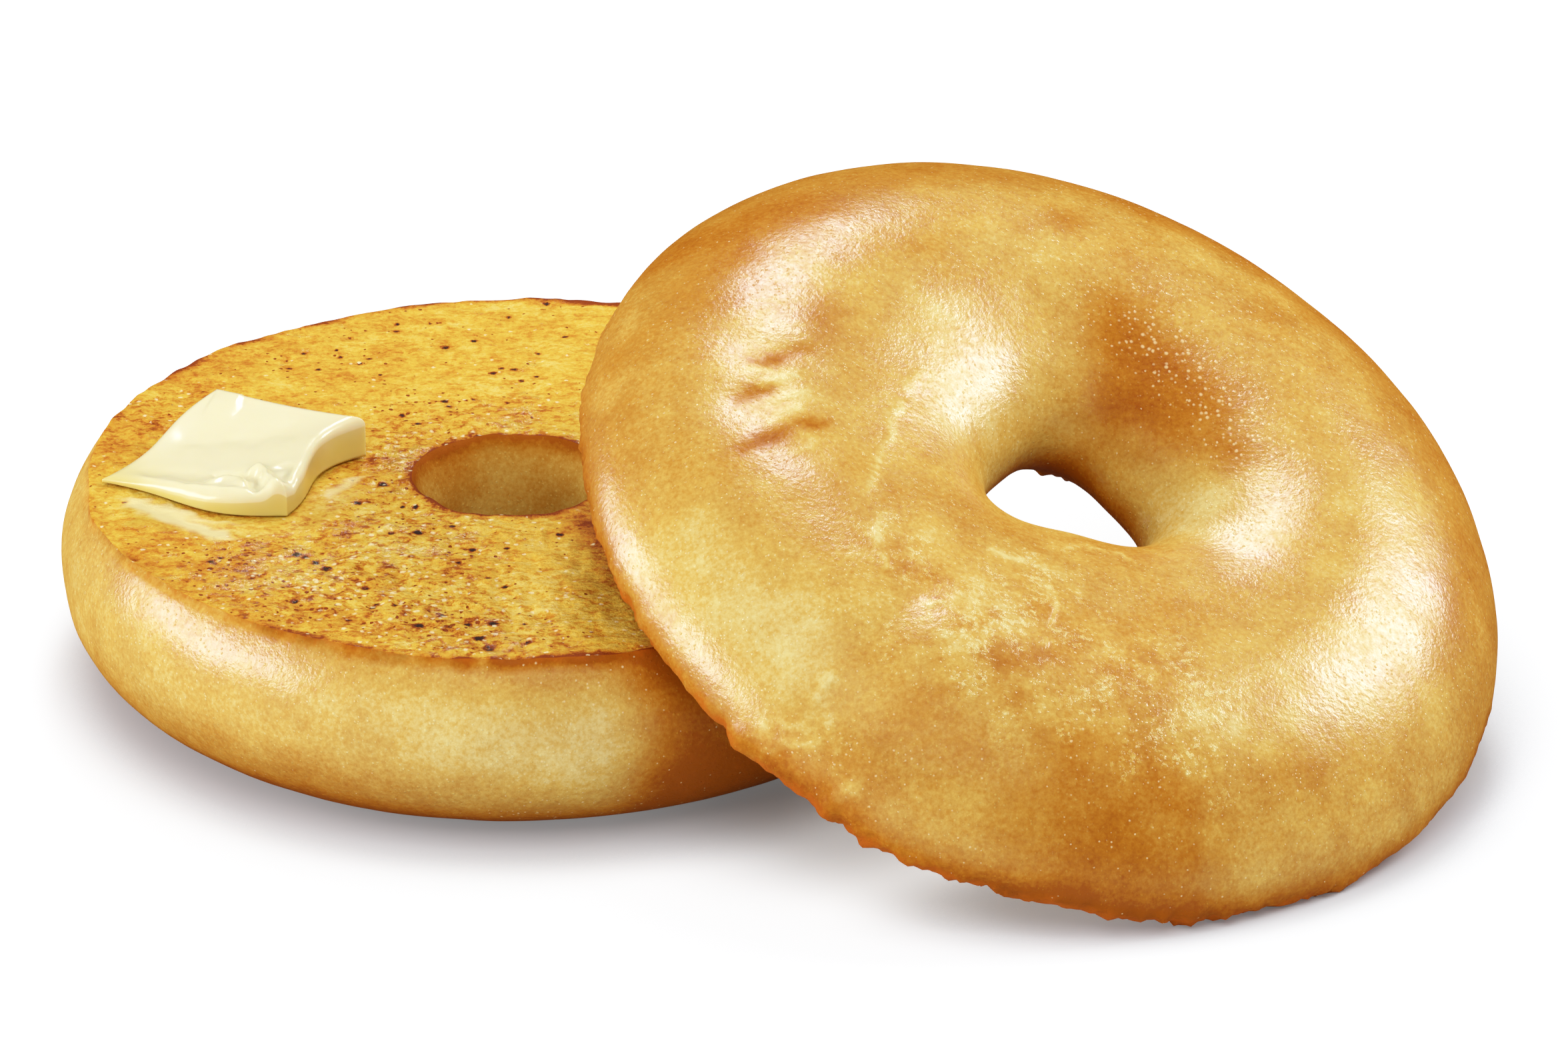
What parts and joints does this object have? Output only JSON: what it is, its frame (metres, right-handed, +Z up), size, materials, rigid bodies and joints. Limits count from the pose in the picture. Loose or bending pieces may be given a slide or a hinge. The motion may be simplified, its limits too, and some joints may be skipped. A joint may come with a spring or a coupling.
{
  "type": "bagel",
  "caption": "Plain toasted bagel cut through: the lower half lies cut face up with a pat of butter, and the upper half leans on it, crust up.",
  "frame": {"origin": "on the table, at the middle of the footprint of the two halves together", "axes": "+Z up, +X from the lower half with the butter towards the upper half, +Y away from the side that the upper half runs down to"},
  "size_m": [0.168, 0.1335, 0.0589],
  "materials": {
    "toasted_bread": "toasted yellow crumb with small dark specks and a thin film of butter, in a golden crust",
    "golden_crust": "smooth golden crust with a soft shine, paler low on its sides",
    "butter": "pale yellow softened butter, glossy"
  },
  "bodies": {
    "root": {"lower_half": "toasted_bread", "upper_half": "golden_crust", "butter_pat": "butter"}
  },
  "joints": []
}
